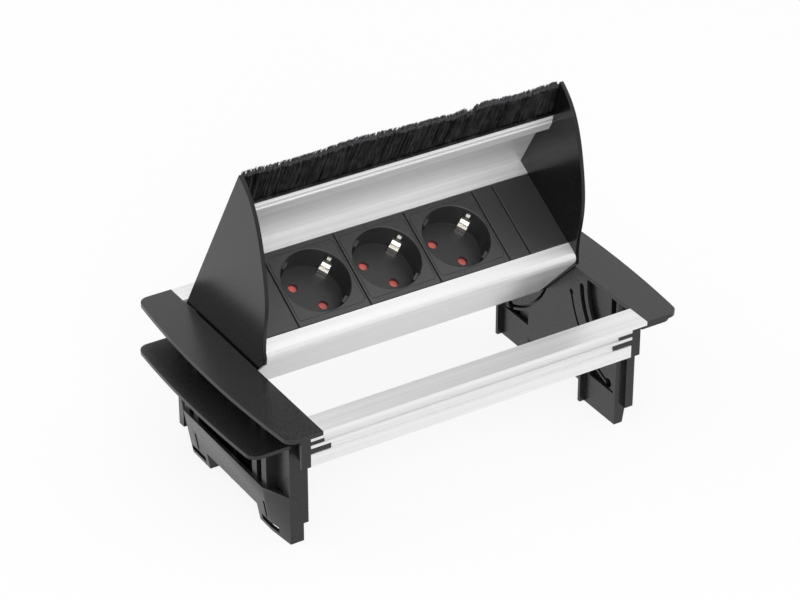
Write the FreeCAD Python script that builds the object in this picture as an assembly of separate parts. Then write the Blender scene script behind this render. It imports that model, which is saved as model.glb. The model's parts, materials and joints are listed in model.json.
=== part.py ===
import FreeCAD, Part
import math
import os

# In-desk power socket: a frame that drops into a desk cut-out and a flip-up unit with three sockets.
# Millimetres, X along the unit, Y to the back of the desk, Z up, z = 0 at the soles of the feet.
# The script draws everything from the desk surface (drawing z = 0) and lifts it on export.

# Opening, flanges and rails
OPENING_HALF_LENGTH = 102.4
FRONT_OPENING_EDGE = 67.0
REAR_OPENING_EDGE = 69.6
FRAME_HALF_DEPTH = 83.3
FLANGE_WIDTH = 25.6
FLANGE_BOW = 4.8
FLANGE_THICKNESS = 2.5
FLANGE_CORNER_RADIUS = 6.5
STRIP_THICKNESS = 1.9
RAIL_WALL = 2.0
RAIL_DEPTH = 27.8
RIDGE_HEIGHT = 1.3
RIDGE_WIDTH = 1.9
UPPER_RIDGE_DROP = 9.9
LOWER_RIDGE_DROP = 14.3
RAIL_BAND_DROP = 20.2
RAIL_BAND_HEIGHT = 0.8
KEY_LENGTH = 12.4
UPPER_KEY_LENGTH = 8.4
KEY_HEIGHT = 3.4
KEY_STANDOUT = 0.9

# End brackets
FOOT_DEPTH = 80.0
STEP_DEPTH = 69.0
BRACKET_WALL = 2.2
PLAIN_END_REACH = 56.4
LIPPED_END_REACH = 61.0
PLAIN_END_WIDTH = 10.4
LIPPED_END_WIDTH = 8.2
TOE_WIDTH = 5.1
TOE_STANDOUT = 3.0
PLAIN_SOLE_WIDTH = 5.6
LIP_REACH = 3.0
PLAIN_FOOT_START = 24.5
LIPPED_FOOT_START = 31.5
FOOT_PLATE_DROP = 60.2
MIDDLE_HALF_LENGTH = 31.5
SKIRT_TOP_DROP = 50.0
SKIRT_REACH = 15.6
SKIRT_FOOT_REACH = 10.2
SKIRT_HALF_SPAN = 44.0
OUTER_WALL_SETBACK = 5.2
FIN_WIDTH = 5.2
FIN_REACH = 13.6
FIN_OFFSETS = (32.7, 43.0)
FIN_FOOT_DROP = 55.5
WINDOW_LENGTH = 16.5
WINDOW_HEIGHT = 3.6
WINDOW_RISE = 2.4
WINDOW_SETBACK = 1.2
GROOVE_WIDTH = 2.0
GROOVE_HEIGHT = 13.0
GROOVE_OFFSET = 5.8
CLIP_WIDTH = 5.7
CLIP_THICKNESS = 1.8
CLIP_TOP_DROP = 9.4
LIP_GAP = 5.5

# Turning axis and guide slots
PIVOT_DROP = 2.6
OPEN_ANGLE = 59.5
HUB_RADIUS = 38.4
WIDE_SLOT_RADIUS = 43.8
WIDE_SLOT_WIDTH = 4.0
THIN_SLOT_RADIUS = 55.0
THIN_SLOT_WIDTH = 1.8
THIN_SLOT_HEAD = 3.6
THIN_SLOT_TAIL = 5.4
SEAT_MARGIN = 2.4
WIDE_SLOT_START = 6.1
THIN_SLOT_START = 13.7
SLOT_OVERRUN = 0.6
ROLLER_FIT = 0.08
KEY_PIN_RADIUS = 0.58

# Clamp plates and screws
CLAMP_PLATE_DROP = 14.4
CLAMP_PLATE_THICKNESS = 2.2
CLAMP_HALF_LENGTH = 64.1
CLAMP_WIDTH = 24.0
CLAMP_GAP = 0.4
CLAMP_SCREW_OFFSET = 7.55
CLAMP_SCREW_RADIUS = 1.5
CLAMP_SCREW_FIT = 0.06
CLAMP_HEAD_RADIUS = 3.0
CLAMP_HEAD_HEIGHT = 2.6
CLAMP_HEX_RADIUS = 1.5
CLAMP_HEX_DEPTH = 1.8
CLAMP_RING_RADIUS = 2.0
CLAMP_RING_HEIGHT = 1.2
CLAMP_NUT_RADIUS = 4.0
CLAMP_NUT_HEIGHT = 4.4
SCREW_TOP_GAP = 6.0
SCREW_PLAY = 0.35

# Flip unit, drawn closed with the turning axis at its origin
CHEEK_GAP = 1.0
CHEEK_THICKNESS = 2.4
LID_RISE = 4.9
LID_REAR_GAP = 0.4
LID_FRONT_GAP = 0.5
LID_THICKNESS = 2.4
BROW_SETBACK, BROW_DROP = 2.8, 8.2
CROWN_SETBACK, CROWN_DROP = 24.2, 35.0
BELLY_SETBACK, BELLY_DROP = 49.8, 52.8
CHEEK_OVERLAP = 1.0
BACK_REACH, BACK_DROP = 2.4, 54.4
BACK_COVER_THICKNESS = 2.0
BRUSH_LENGTH = 22.0
LIP_DROP = 2.7
LIP_LENGTH = 11.0
COVE_LENGTH = 15.5
BRUSH_SLOT_DEPTH = 5.8
BRUSH_SLOT_HEIGHT = 4.1
BRUSH_SLOT_ROOF = 1.9
BRUSH_GAP_TO_TIP = 0.3
BRUSH_TIP_HEIGHT = 6.4
NOSE_THICKNESS = 2.0
NOSE_FACE_LENGTH = 6.8
NOSE_ROUNDING = 4.2

# Socket panel
PANEL_REACH = 54.7
PANEL_TOP_DROP = 6.2
PANEL_HEIGHT = 48.5
PANEL_THICKNESS = 2.0
MODULE_PITCH = 45.0
MODULE_COUNT = 3
MODULE_GAP = 0.7
MODULE_RISE = 1.3
MODULE_APERTURE = 43.0
FILLER_LEFT_WIDTH = 24.6
BLANK_STRIP_WIDTH = 13.3
FACE_CHAMFER = 0.5
RECESS_RADIUS = 19.7
RECESS_DEPTH = 17.5
CUP_WALL = 1.5
FLOOR_THICKNESS = 2.4
RIM_WIDTH = 0.4
LINE_INSET = 1.1
LINE_WIDTH = 0.5
LINE_DEPTH = 0.3
LINE_CORNER = 2.8
PIN_OFFSET = 9.5
PIN_HOLE_RADIUS = 2.75
PIN_AXIS_TILT = 52.7
GUIDE_KEY_WIDTH = 5.0
GUIDE_KEY_HEIGHT = 1.9
GUIDE_KEY_SETBACK = 2.5
CLIP_SLOT_WIDTH = 6.2
CLIP_SLOT_DEPTH = 0.9
EARTH_CLIP_THICKNESS = 0.6
TIP_WIDTH, TIP_START, TIP_LENGTH, TIP_STANDOUT = 2.4, 4.2, 4.6, 1.6
BAR_WIDTH, BAR_START, BAR_LENGTH, BAR_STANDOUT = 5.2, 10.4, 1.3, 2.2
PAD_WIDTH, PAD_START, PAD_LENGTH, PAD_STANDOUT = 5.8, 12.8, 4.5, 3.6
SHUTTER_RADIUS = 15.0
SHUTTER_THICKNESS = 1.0
SHUTTER_GAP = 0.35
SHUTTER_TURN = 36.0
SHUTTER_FIT = 0.05
CARRIER_FIT = 0.05
BOSS_RADIUS = 3.0
CARRIER_THICKNESS = 8.0
SLEEVE_LENGTH = 13.0
SLEEVE_RADIUS = 3.1
SLEEVE_BORE = 2.5
BUSHING_OFFSET = 62.0
BUSHING_HOLE = 4.5
BUSHING_RADIUS = 7.0
BUSHING_FLANGE = 9.0
BUSHING_STANDOUT = 1.2

FLANGE_OUTER_REACH = OPENING_HALF_LENGTH + FLANGE_WIDTH
SEAT_RADIUS = THIN_SLOT_RADIUS + SEAT_MARGIN
ROLLER_OPEN_ANGLE = WIDE_SLOT_START + SLOT_OVERRUN
KEY_PIN_OPEN_ANGLE = THIN_SLOT_START + SLOT_OVERRUN
CHEEK_OUTER_FACE = OPENING_HALF_LENGTH - CHEEK_GAP
CHEEK_INNER_FACE = CHEEK_OUTER_FACE - CHEEK_THICKNESS
PIVOT_Y = REAR_OPENING_EDGE - LID_RISE - LID_REAR_GAP
PIVOT_Z = -PIVOT_DROP
LID_REACH = PIVOT_Y + FRONT_OPENING_EDGE - LID_FRONT_GAP
LIP_REACH_ON_LID = LID_REACH - BRUSH_LENGTH
LIP_HEEL_REACH = LIP_REACH_ON_LID - LIP_LENGTH
COVE_REACH = LIP_HEEL_REACH - COVE_LENGTH
MODULE_START = FILLER_LEFT_WIDTH - CHEEK_INNER_FACE
PANEL_MIDDLE_DROP = PANEL_TOP_DROP + PANEL_HEIGHT / 2
FACE_REACH = PANEL_REACH + MODULE_RISE
FACE_HEIGHT = PANEL_HEIGHT - MODULE_GAP
APRON_DROP = PANEL_TOP_DROP + PANEL_HEIGHT + NOSE_FACE_LENGTH + NOSE_ROUNDING
HEEL_REACH = FACE_REACH + CHEEK_OVERLAP
HEEL_DROP = APRON_DROP - NOSE_ROUNDING + CHEEK_OVERLAP
KEEL_REACH = FACE_REACH - NOSE_ROUNDING - CHEEK_OVERLAP
KEEL_DROP = APRON_DROP + CHEEK_OVERLAP


def vec(x, y, z):
    return FreeCAD.Vector(x, y, z)


def box(x0, x1, y0, y1, z0, z1):
    return Part.makeBox(x1 - x0, y1 - y0, z1 - z0, vec(x0, y0, z0))


def polygon(points):
    return Part.makePolygon(points + [points[0]])


def slab_x(outline, x0, x1):
    """Solid between two x positions from an outline of (y, z) corners."""
    wire = polygon([vec(x0, y, z) for y, z in outline])
    return Part.Face(wire).extrude(vec(x1 - x0, 0, 0))


def slab_z(outline, z0, z1):
    """Solid between two heights from an outline of (x, y) corners."""
    wire = polygon([vec(x, y, z0) for x, y in outline])
    return Part.Face(wire).extrude(vec(0, 0, z1 - z0))


def rod_x(y, z, radius, x0, x1):
    return Part.makeCylinder(radius, x1 - x0, vec(x0, y, z), vec(1, 0, 0))


def rod_z(x, y, radius, z0, z1):
    return Part.makeCylinder(radius, z1 - z0, vec(x, y, z0))


def joined(shapes):
    return shapes[0].fuse(shapes[1:]).removeSplitter()


def mirrored_x(shape):
    return shape.mirror(vec(0, 0, 0), vec(1, 0, 0))


def mirrored_y(shape):
    return shape.mirror(vec(0, 0, 0), vec(0, 1, 0))


def turned_round(shape):
    copy = shape.copy()
    copy.rotate(vec(0, 0, 0), vec(0, 0, 1), 180)
    return copy


def slot_point(radius, angle):
    """Point (y, z) on an arc about the turning axis, the angle measured down from the front."""
    turn = math.radians(angle)
    return PIVOT_Y - radius * math.cos(turn), PIVOT_Z - radius * math.sin(turn)


def arc_band(inner, outer, start, end, x0, x1):
    """Flat-ended curved bar about the turning axis."""
    middle = (start + end) / 2
    corners = [
        [slot_point(radius, angle) for angle in (start, middle, end)] for radius in (inner, outer)
    ]
    low = [vec(x0, y, z) for y, z in corners[0]]
    high = [vec(x0, y, z) for y, z in corners[1]]
    edges = [
        Part.Arc(*low).toShape(),
        Part.makeLine(low[2], high[2]),
        Part.Arc(high[2], high[1], high[0]).toShape(),
        Part.makeLine(high[0], low[0]),
    ]
    return Part.Face(Part.Wire(edges)).extrude(vec(x1 - x0, 0, 0))


def arc_slot(radius, width, start, end, heads, x0, x1):
    """Curved cutter with a round head of its own radius at each end."""
    pieces = [arc_band(radius - width / 2, radius + width / 2, start, end, x0, x1)]
    for angle, head in zip((start, end), heads):
        y, z = slot_point(radius, angle)
        pieces.append(rod_x(y, z, head, x0, x1))
    return joined(pieces)


# Frame
def flange():
    bow_radius = (FRAME_HALF_DEPTH**2 + FLANGE_BOW**2) / (2 * FLANGE_BOW)
    blank = box(OPENING_HALF_LENGTH, FLANGE_OUTER_REACH, -FRAME_HALF_DEPTH, FRAME_HALF_DEPTH, 0, FLANGE_THICKNESS)
    plate = blank.common(rod_z(FLANGE_OUTER_REACH - bow_radius, 0, bow_radius, 0, FLANGE_THICKNESS))
    corner_x = OPENING_HALF_LENGTH + FLANGE_CORNER_RADIUS
    corners = [
        edge
        for edge in plate.Edges
        if abs(edge.tangentAt(edge.FirstParameter).z) > 0.9 and edge.CenterOfMass.x > corner_x
    ]
    return plate.makeFillet(FLANGE_CORNER_RADIUS, corners)


def inner_wall():
    """Wall beside the flip unit with the curved guide slots, the same to the front and to the back."""
    x0 = OPENING_HALF_LENGTH
    x1 = x0 + BRACKET_WALL
    wall = box(x0, x1, -MIDDLE_HALF_LENGTH, MIDDLE_HALF_LENGTH, -STEP_DEPTH, 0)
    seat = arc_band(HUB_RADIUS, SEAT_RADIUS, 0, 90, x0, x1)
    keep = box(x0, x1, 0, PLAIN_END_REACH, -FOOT_DEPTH, 0)
    seat = seat.common(keep)
    wall = joined([wall, seat, mirrored_y(seat)])
    slot_end = OPEN_ANGLE + SLOT_OVERRUN
    hub = rod_x(PIVOT_Y, PIVOT_Z, HUB_RADIUS, x0, x1)
    wide = arc_slot(
        WIDE_SLOT_RADIUS,
        WIDE_SLOT_WIDTH,
        WIDE_SLOT_START,
        ROLLER_OPEN_ANGLE + slot_end,
        (WIDE_SLOT_WIDTH / 2, WIDE_SLOT_WIDTH / 2),
        x0,
        x1,
    )
    thin = arc_slot(
        THIN_SLOT_RADIUS,
        THIN_SLOT_WIDTH,
        THIN_SLOT_START,
        KEY_PIN_OPEN_ANGLE + slot_end,
        (THIN_SLOT_HEAD / 2, THIN_SLOT_TAIL / 2),
        x0,
        x1,
    )
    for cutter in (hub, wide, thin):
        wall = wall.cut(cutter).cut(mirrored_y(cutter))
    return wall


def skirt_outline(z, reach, plain_width, inset):
    """Corners of the flared outer skirt at one height, pulled in by the wall."""
    plain = OPENING_HALF_LENGTH + plain_width - inset
    lipped = OPENING_HALF_LENGTH + LIPPED_END_WIDTH - inset
    middle = OPENING_HALF_LENGTH + reach - inset
    root = OPENING_HALF_LENGTH + BRACKET_WALL
    front = inset - PLAIN_END_REACH
    back = LIPPED_END_REACH - inset
    corners = [
        (root, front),
        (plain, front),
        (middle, -SKIRT_HALF_SPAN),
        (middle, SKIRT_HALF_SPAN),
        (lipped, back),
        (root, back),
    ]
    return polygon([vec(x, y, z) for x, y in corners])


def skirt_block(inset):
    top = skirt_outline(-SKIRT_TOP_DROP, SKIRT_REACH, PLAIN_END_WIDTH, inset)
    sole = skirt_outline(-FOOT_DEPTH, SKIRT_FOOT_REACH, PLAIN_SOLE_WIDTH, inset)
    return Part.makeLoft([sole, top], True, True)


def skirt():
    """Flared lower wall, two feet below it and the floor between."""
    outer = skirt_block(0)
    hollow = skirt_block(BRACKET_WALL)
    x0 = OPENING_HALF_LENGTH
    x1 = OPENING_HALF_LENGTH + SKIRT_REACH
    shell = outer.cut(hollow)
    between_feet = box(x0, x1, -PLAIN_FOOT_START, LIPPED_FOOT_START, -FOOT_DEPTH, -STEP_DEPTH)
    shell = shell.cut(between_feet)
    floor = hollow.common(box(x0, x1, -LIPPED_END_REACH, LIPPED_END_REACH, -STEP_DEPTH, BRACKET_WALL - STEP_DEPTH))
    pieces = [shell, floor]
    for start in (-PLAIN_FOOT_START - BRACKET_WALL, LIPPED_FOOT_START):
        slab = box(x0, x1, start, start + BRACKET_WALL, -FOOT_DEPTH, -STEP_DEPTH)
        pieces.append(slab.common(outer))
    body = joined(pieces)
    window_z = WINDOW_RISE - FOOT_DEPTH
    window_x = OPENING_HALF_LENGTH + LIPPED_END_WIDTH - BRACKET_WALL / 2
    groove_z = window_z + WINDOW_HEIGHT
    groove_x = OPENING_HALF_LENGTH + SKIRT_FOOT_REACH + BRACKET_WALL / 2
    for side, start in ((-1, PLAIN_FOOT_START), (1, LIPPED_FOOT_START)):
        near = start + BRACKET_WALL + WINDOW_SETBACK
        low, high = sorted((side * near, side * (near + WINDOW_LENGTH)))
        body = body.cut(box(window_x, x1, low, high, window_z, window_z + WINDOW_HEIGHT))
        near += GROOVE_OFFSET
        low, high = sorted((side * near, side * (near + GROOVE_WIDTH)))
        body = body.cut(box(groove_x, x1, low, high, groove_z, groove_z + GROOVE_HEIGHT))
    return body


def upper_box():
    """Walls between the flange and the skirt: two end boxes, the set-back middle wall and the guide fins."""
    x0 = OPENING_HALF_LENGTH
    plain = x0 + PLAIN_END_WIDTH
    lipped = x0 + LIPPED_END_WIDTH
    middle = x0 + OUTER_WALL_SETBACK
    front = -PLAIN_END_REACH
    back = LIPPED_END_REACH
    span = SKIRT_HALF_SPAN
    wall = BRACKET_WALL
    pieces = [
        box(plain - wall, plain, front, -span, -SKIRT_TOP_DROP, 0),
        box(lipped - wall, lipped, span, back, -SKIRT_TOP_DROP, 0),
        box(middle - wall, middle, -span, span, -STEP_DEPTH, 0),
        box(middle - wall, plain, -span, wall - span, -SKIRT_TOP_DROP, 0),
        box(middle - wall, lipped, span - wall, span, -SKIRT_TOP_DROP, 0),
    ]
    for offset in FIN_OFFSETS:
        for side in (-1, 1):
            start = side * offset - FIN_WIDTH / 2
            pieces.append(box(middle - wall, x0 + FIN_REACH, start, start + FIN_WIDTH, -FIN_FOOT_DROP, 0))
    return joined(pieces)


def end_walls():
    """Front and back leg faces with their stepped toes and the inner foot plates."""
    x0 = OPENING_HALF_LENGTH
    plain = x0 + PLAIN_END_WIDTH
    lipped = x0 + LIPPED_END_WIDTH
    toe = x0 + TOE_WIDTH
    front = -PLAIN_END_REACH
    back = LIPPED_END_REACH
    wall = BRACKET_WALL
    pieces = [
        box(x0, plain, front, front + wall, -STEP_DEPTH, 0),
        box(x0, toe, front, front + wall, -FOOT_DEPTH, -STEP_DEPTH),
        box(toe, plain, front - TOE_STANDOUT, front, -STEP_DEPTH, 0),
        box(x0, lipped, back - wall, back, -STEP_DEPTH, 0),
        box(lipped - TOE_WIDTH, lipped, back - wall, back, -FOOT_DEPTH, -STEP_DEPTH),
        box(x0, x0 + wall, front, -PLAIN_FOOT_START, -FOOT_DEPTH, -FOOT_PLATE_DROP),
        box(x0, x0 + wall, LIPPED_FOOT_START, back, -FOOT_DEPTH, -FOOT_PLATE_DROP),
    ]
    return joined(pieces)


def rail_clips(plain_edge, lipped_edge):
    """Hooks at the rail ends: an arm on the inner wall and a plate flush with the rail keys."""
    x0 = OPENING_HALF_LENGTH
    clips = []
    for side, end, edge in ((-1, PLAIN_END_REACH, plain_edge), (1, LIPPED_END_REACH, lipped_edge)):
        face = edge + RAIL_WALL + KEY_STANDOUT
        for width, start in ((BRACKET_WALL, end), (CLIP_WIDTH, face - CLIP_THICKNESS)):
            low, high = sorted((side * start, side * face))
            clips.append(box(x0, x0 + width, low, high, -RAIL_DEPTH, -CLIP_TOP_DROP))
    return clips


def screw_seats(x_screw):
    """Holes for the clamp screw in the floor of the bracket."""
    radius = CLAMP_SCREW_RADIUS + CLAMP_SCREW_FIT
    return rod_z(x_screw, 0, radius, -STEP_DEPTH, BRACKET_WALL - STEP_DEPTH)


def end_bracket(lip_top, lip_bottom, lip_on_plain_foot, rail_edges):
    """One end of the frame as it stands on the right, the lipped end to the back."""
    pieces = [flange(), inner_wall(), skirt(), upper_box(), end_walls()] + rail_clips(*rail_edges)
    lip_x = OPENING_HALF_LENGTH - LIP_REACH
    lip = box(
        lip_x,
        OPENING_HALF_LENGTH,
        LIPPED_END_REACH - BRACKET_WALL,
        LIPPED_END_REACH,
        -lip_bottom,
        -lip_top,
    )
    pieces.append(lip)
    if lip_on_plain_foot:
        inner = -PLAIN_FOOT_START
        pieces.append(box(lip_x, OPENING_HALF_LENGTH, inner - BRACKET_WALL, inner, -FOOT_DEPTH, -FOOT_PLATE_DROP))
    body = joined(pieces)
    return body.cut(screw_seats(OPENING_HALF_LENGTH + CLAMP_SCREW_OFFSET))


def rail(edge, direction):
    """Aluminium angle: a flat strip on the desk and a ribbed wall down into the cut-out."""
    reach = OPENING_HALF_LENGTH
    outer = edge + RAIL_WALL
    ridge = outer + RIDGE_HEIGHT
    band = outer + RAIL_BAND_HEIGHT
    strip_base = FLANGE_THICKNESS - STRIP_THICKNESS
    outline = [
        (edge, FLANGE_THICKNESS),
        (FRAME_HALF_DEPTH, FLANGE_THICKNESS),
        (FRAME_HALF_DEPTH, 0),
        (FRAME_HALF_DEPTH - RAIL_WALL, 0),
        (FRAME_HALF_DEPTH - RAIL_WALL, strip_base),
        (outer, strip_base),
    ]
    for drop in (UPPER_RIDGE_DROP, LOWER_RIDGE_DROP):
        base = drop + RIDGE_WIDTH
        outline += [(outer, -drop), (ridge, -drop), (ridge, -base), (outer, -base)]
    outline += [
        (outer, -RAIL_BAND_DROP),
        (band, -RAIL_BAND_DROP),
        (band, -RAIL_DEPTH),
        (edge, -RAIL_DEPTH),
    ]
    outline = [(direction * y, z) for y, z in outline]
    return slab_x(outline, -reach, reach)


def rail_keys():
    """Plastic keys pushed into the rail grooves at both ends."""
    keys = []
    for edge, direction in ((FRONT_OPENING_EDGE, -1), (REAR_OPENING_EDGE, 1)):
        base = direction * (edge + RAIL_WALL)
        tip = direction * (edge + RAIL_WALL + KEY_STANDOUT)
        low, high = min(base, tip), max(base, tip)
        upper = -(UPPER_RIDGE_DROP + RIDGE_WIDTH)
        lower = -(LOWER_RIDGE_DROP + RIDGE_WIDTH)
        for length, top, base in (
            (UPPER_KEY_LENGTH, upper, -LOWER_RIDGE_DROP),
            (KEY_LENGTH, lower, lower - KEY_HEIGHT),
        ):
            right = box(OPENING_HALF_LENGTH - length, OPENING_HALF_LENGTH, low, high, base, top)
            keys += [right, mirrored_x(right)]
    return Part.makeCompound(keys)


def clamp_plate():
    """Lower jaw on the right: bowed like the flange, its inner edge cut round the guide fins."""
    bow_radius = (FRAME_HALF_DEPTH**2 + FLANGE_BOW**2) / (2 * FLANGE_BOW)
    top = -CLAMP_PLATE_DROP
    base = top - CLAMP_PLATE_THICKNESS
    half = CLAMP_HALF_LENGTH
    plain_face = OPENING_HALF_LENGTH + PLAIN_END_WIDTH + CLAMP_GAP
    lipped_face = OPENING_HALF_LENGTH + LIPPED_END_WIDTH + CLAMP_GAP
    wall_face = OPENING_HALF_LENGTH + OUTER_WALL_SETBACK + CLAMP_GAP
    fin_face = OPENING_HALF_LENGTH + FIN_REACH + CLAMP_GAP
    outer = plain_face + CLAMP_WIDTH
    tongue = FIN_OFFSETS[0] - FIN_WIDTH / 2 - CLAMP_GAP
    beyond_fins = FIN_OFFSETS[1] + FIN_WIDTH / 2 + CLAMP_GAP
    blank = joined(
        [
            box(fin_face, outer, -half, half, base, top),
            box(wall_face, fin_face, -tongue, tongue, base, top),
            box(plain_face, fin_face, -half, -beyond_fins, base, top),
            box(lipped_face, fin_face, beyond_fins, half, base, top),
        ]
    )
    plate = blank.common(rod_z(outer - bow_radius, 0, bow_radius, base, top))
    corners = [
        edge
        for edge in plate.Edges
        if abs(edge.tangentAt(edge.FirstParameter).z) > 0.9 and edge.CenterOfMass.x > fin_face + FLANGE_CORNER_RADIUS
    ]
    plate = plate.makeFillet(FLANGE_CORNER_RADIUS, corners)
    x_screw = OPENING_HALF_LENGTH + CLAMP_SCREW_OFFSET
    nut_x = wall_face + CLAMP_NUT_RADIUS * 2
    nut_base = base - CLAMP_NUT_HEIGHT
    nut = box(wall_face, nut_x, -CLAMP_NUT_RADIUS, CLAMP_NUT_RADIUS, nut_base, base)
    plate = joined([plate, nut])
    return plate.cut(rod_z(x_screw, 0, CLAMP_SCREW_RADIUS + CLAMP_SCREW_FIT, nut_base, top))


def clamp_screw():
    """Upright screw through the bracket floor and the clamp plate, hexagon socket below."""
    x_screw = OPENING_HALF_LENGTH + CLAMP_SCREW_OFFSET
    head_top = -STEP_DEPTH - SCREW_PLAY
    head_base = head_top - CLAMP_HEAD_HEIGHT
    shank = rod_z(x_screw, 0, CLAMP_SCREW_RADIUS, head_top, -SCREW_TOP_GAP)
    head = rod_z(x_screw, 0, CLAMP_HEAD_RADIUS, head_base, head_top)
    collar_base = BRACKET_WALL - STEP_DEPTH + SCREW_PLAY
    collar = rod_z(x_screw, 0, CLAMP_RING_RADIUS, collar_base, collar_base + CLAMP_RING_HEIGHT)
    corners = [
        (
            x_screw + CLAMP_HEX_RADIUS * math.cos(math.radians(60 * k)),
            CLAMP_HEX_RADIUS * math.sin(math.radians(60 * k)),
        )
        for k in range(6)
    ]
    socket = slab_z(corners, head_base, head_base + CLAMP_HEX_DEPTH)
    return joined([shank, head, collar]).cut(socket)


# Flip unit
def opened(shape):
    """Carry a shape drawn closed about the axis to its place and swing it open."""
    copy = shape.copy()
    copy.translate(vec(0, PIVOT_Y, PIVOT_Z))
    copy.rotate(vec(0, PIVOT_Y, PIVOT_Z), vec(1, 0, 0), -OPEN_ANGLE)
    return copy


def cheek():
    """Side cheek on the right: flat lid edge, curved belly, rounded nose about the axis."""
    x0 = CHEEK_INNER_FACE
    tip = vec(x0, -LID_REACH, LID_RISE)
    belly = Part.BSplineCurve()
    belly.interpolate(
        [
            tip,
            vec(x0, BROW_SETBACK - LID_REACH, -BROW_DROP),
            vec(x0, CROWN_SETBACK - LID_REACH, -CROWN_DROP),
            vec(x0, BELLY_SETBACK - LID_REACH, -BELLY_DROP),
            vec(x0, -HEEL_REACH, -HEEL_DROP),
            vec(x0, -KEEL_REACH, -KEEL_DROP),
        ]
    )
    keel = vec(x0, -KEEL_REACH, -KEEL_DROP)
    back = vec(x0, -BACK_REACH, -BACK_DROP)
    nose_low = vec(x0, LID_RISE * math.cos(math.radians(45)), -LID_RISE * math.sin(math.radians(45)))
    nose_top = vec(x0, 0, LID_RISE)
    nose = Part.Arc(nose_low, vec(x0, LID_RISE, 0), nose_top).toShape()
    edges = [
        belly.toShape(),
        Part.makeLine(keel, back),
        Part.makeLine(back, nose_low),
        nose,
        Part.makeLine(nose_top, tip),
    ]
    return Part.Face(Part.Wire(edges)).extrude(vec(CHEEK_THICKNESS, 0, 0))


def guide_pins():
    """Roller for the wide slot and slim key pin for the thin slot, both fixed in the right cheek."""
    x0 = CHEEK_OUTER_FACE
    x1 = OPENING_HALF_LENGTH + BRACKET_WALL
    pins = []
    roller_radius = WIDE_SLOT_WIDTH / 2 - ROLLER_FIT
    for radius, angle, size in (
        (WIDE_SLOT_RADIUS, ROLLER_OPEN_ANGLE, roller_radius),
        (THIN_SLOT_RADIUS, KEY_PIN_OPEN_ANGLE, KEY_PIN_RADIUS),
    ):
        turn = math.radians(angle + OPEN_ANGLE)
        pins.append(rod_x(-radius * math.cos(turn), -radius * math.sin(turn), size, x0, x1))
    return Part.makeCompound(pins)


def wire_of(steps, x):
    """Closed outline from (y, z) points; a point pair in brackets gives an arc through the first to the second."""
    edges = []
    here = vec(x, *steps[0])
    for step in steps[1:] + [steps[0]]:
        if isinstance(step[0], tuple):
            middle = vec(x, *step[0])
            end = vec(x, *step[1])
            edges.append(Part.Arc(here, middle, end).toShape())
        else:
            end = vec(x, *step)
            edges.append(Part.makeLine(here, end))
        here = end
    return Part.Wire(edges)


def extruded(steps, x0, x1):
    return Part.Face(wire_of(steps, x0)).extrude(vec(x1 - x0, 0, 0))


def lid_profile():
    """Aluminium lid: desk-flush top, stepped brush lip in front, cove beneath, rolled nose behind."""
    under = LID_RISE - LID_THICKNESS
    nose_inner = LID_RISE - LID_THICKNESS
    slot_roof = LID_RISE - BRUSH_SLOT_ROOF
    slot_floor = slot_roof - BRUSH_SLOT_HEIGHT
    slot_back = BRUSH_SLOT_DEPTH - LIP_REACH_ON_LID
    lip_front = -LIP_REACH_ON_LID
    step = LIP_DROP * 0.6
    first_step = lip_front + step
    second_step = first_step + LIP_DROP
    cove_middle_y = -(LIP_HEEL_REACH + COVE_REACH) / 2 + step / 2
    hook = -PANEL_REACH - MODULE_RISE
    hook_back = PANEL_THICKNESS - PANEL_REACH
    steps = [
        (lip_front, LID_RISE),
        (lip_front, slot_roof),
        (slot_back, slot_roof),
        (slot_back, slot_floor),
        (lip_front, slot_floor),
        (lip_front, -LIP_DROP),
        (first_step, -LIP_DROP),
        (first_step, -LIP_DROP - step / 2),
        (second_step, -LIP_DROP - step / 2),
        (second_step, -LIP_DROP - step),
        (-LIP_HEEL_REACH, -LIP_DROP - step),
        ((cove_middle_y, under - LIP_DROP / 2), (-COVE_REACH, under)),
        (hook, under),
        (hook, -PANEL_TOP_DROP),
        (hook_back, -PANEL_TOP_DROP),
        (hook_back, under),
        (0, under),
        ((nose_inner * 0.7071, nose_inner * 0.7071), (nose_inner, 0)),
        (LID_RISE, 0),
        ((LID_RISE * 0.7071, LID_RISE * 0.7071), (0, LID_RISE)),
    ]
    return extruded(steps, -CHEEK_INNER_FACE, CHEEK_INNER_FACE)


def nose_profile():
    """Aluminium apron below the sockets: face, rounded edge and long underside."""
    front = -PANEL_REACH - MODULE_RISE
    top = -PANEL_TOP_DROP - PANEL_HEIGHT
    face_end = top - NOSE_FACE_LENGTH
    inner = front + NOSE_THICKNESS
    roll = NOSE_ROUNDING
    bend = roll * 0.29
    keel_y = front + roll
    keel_z = face_end - roll
    back_y = -BACK_REACH
    back_z = -BACK_DROP
    small = roll - NOSE_THICKNESS
    small_bend = small * 0.29
    steps = [
        (front, top),
        (front, face_end),
        ((front + bend, keel_z + bend), (keel_y, keel_z)),
        (back_y, back_z),
        (back_y, back_z + NOSE_THICKNESS),
        (keel_y, keel_z + NOSE_THICKNESS),
        ((inner + small_bend, keel_z + NOSE_THICKNESS + small_bend), (inner, face_end)),
        (inner, top - NOSE_THICKNESS),
        (PANEL_THICKNESS - PANEL_REACH, top - NOSE_THICKNESS),
        (PANEL_THICKNESS - PANEL_REACH, top),
    ]
    return extruded(steps, -CHEEK_INNER_FACE, CHEEK_INNER_FACE)


def brush_holder():
    slot_roof = LID_RISE - BRUSH_SLOT_ROOF
    return box(
        -CHEEK_INNER_FACE,
        CHEEK_INNER_FACE,
        -LIP_REACH_ON_LID,
        BRUSH_SLOT_DEPTH - LIP_REACH_ON_LID,
        slot_roof - BRUSH_SLOT_HEIGHT,
        slot_roof,
    )


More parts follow.
